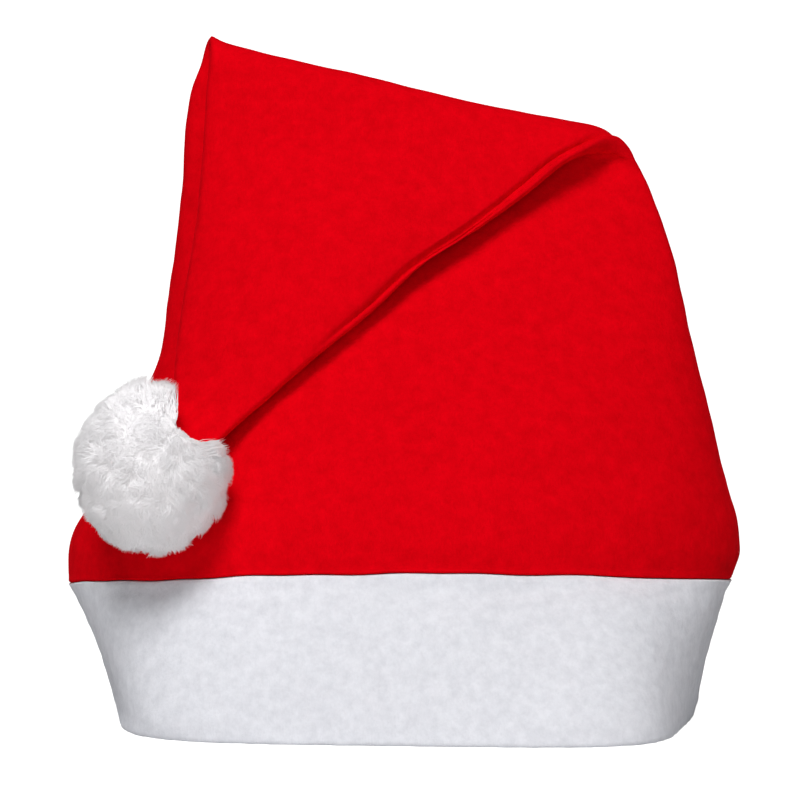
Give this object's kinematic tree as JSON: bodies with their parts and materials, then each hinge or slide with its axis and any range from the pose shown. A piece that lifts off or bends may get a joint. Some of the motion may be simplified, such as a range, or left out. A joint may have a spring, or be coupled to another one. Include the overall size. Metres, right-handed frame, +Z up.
{
  "type": "santa hat",
  "caption": "Soft felt cone hat with its tip folded over in front, a wide turned-up cuff round the opening and a fluffy ball on the tip.",
  "frame": {"origin": "centre of the footprint of the whole hat's box, on the plane that the rim rests on", "axes": "+Z up from the rim, +X to the wearer's left as the hat is seen from in front, and the folded tip hangs in front at -Y with its pompom towards -X"},
  "size_m": [0.2424, 0.1745, 0.2455],
  "materials": {
    "red_felt": "matte needled felt",
    "white_felt": "matte needled felt, fluffy",
    "white_pile": "cut pile in soft locks"
  },
  "bodies": {
    "root": {"crown": "red_felt", "cuff_band": "white_felt", "pompom": "white_pile"}
  },
  "joints": []
}
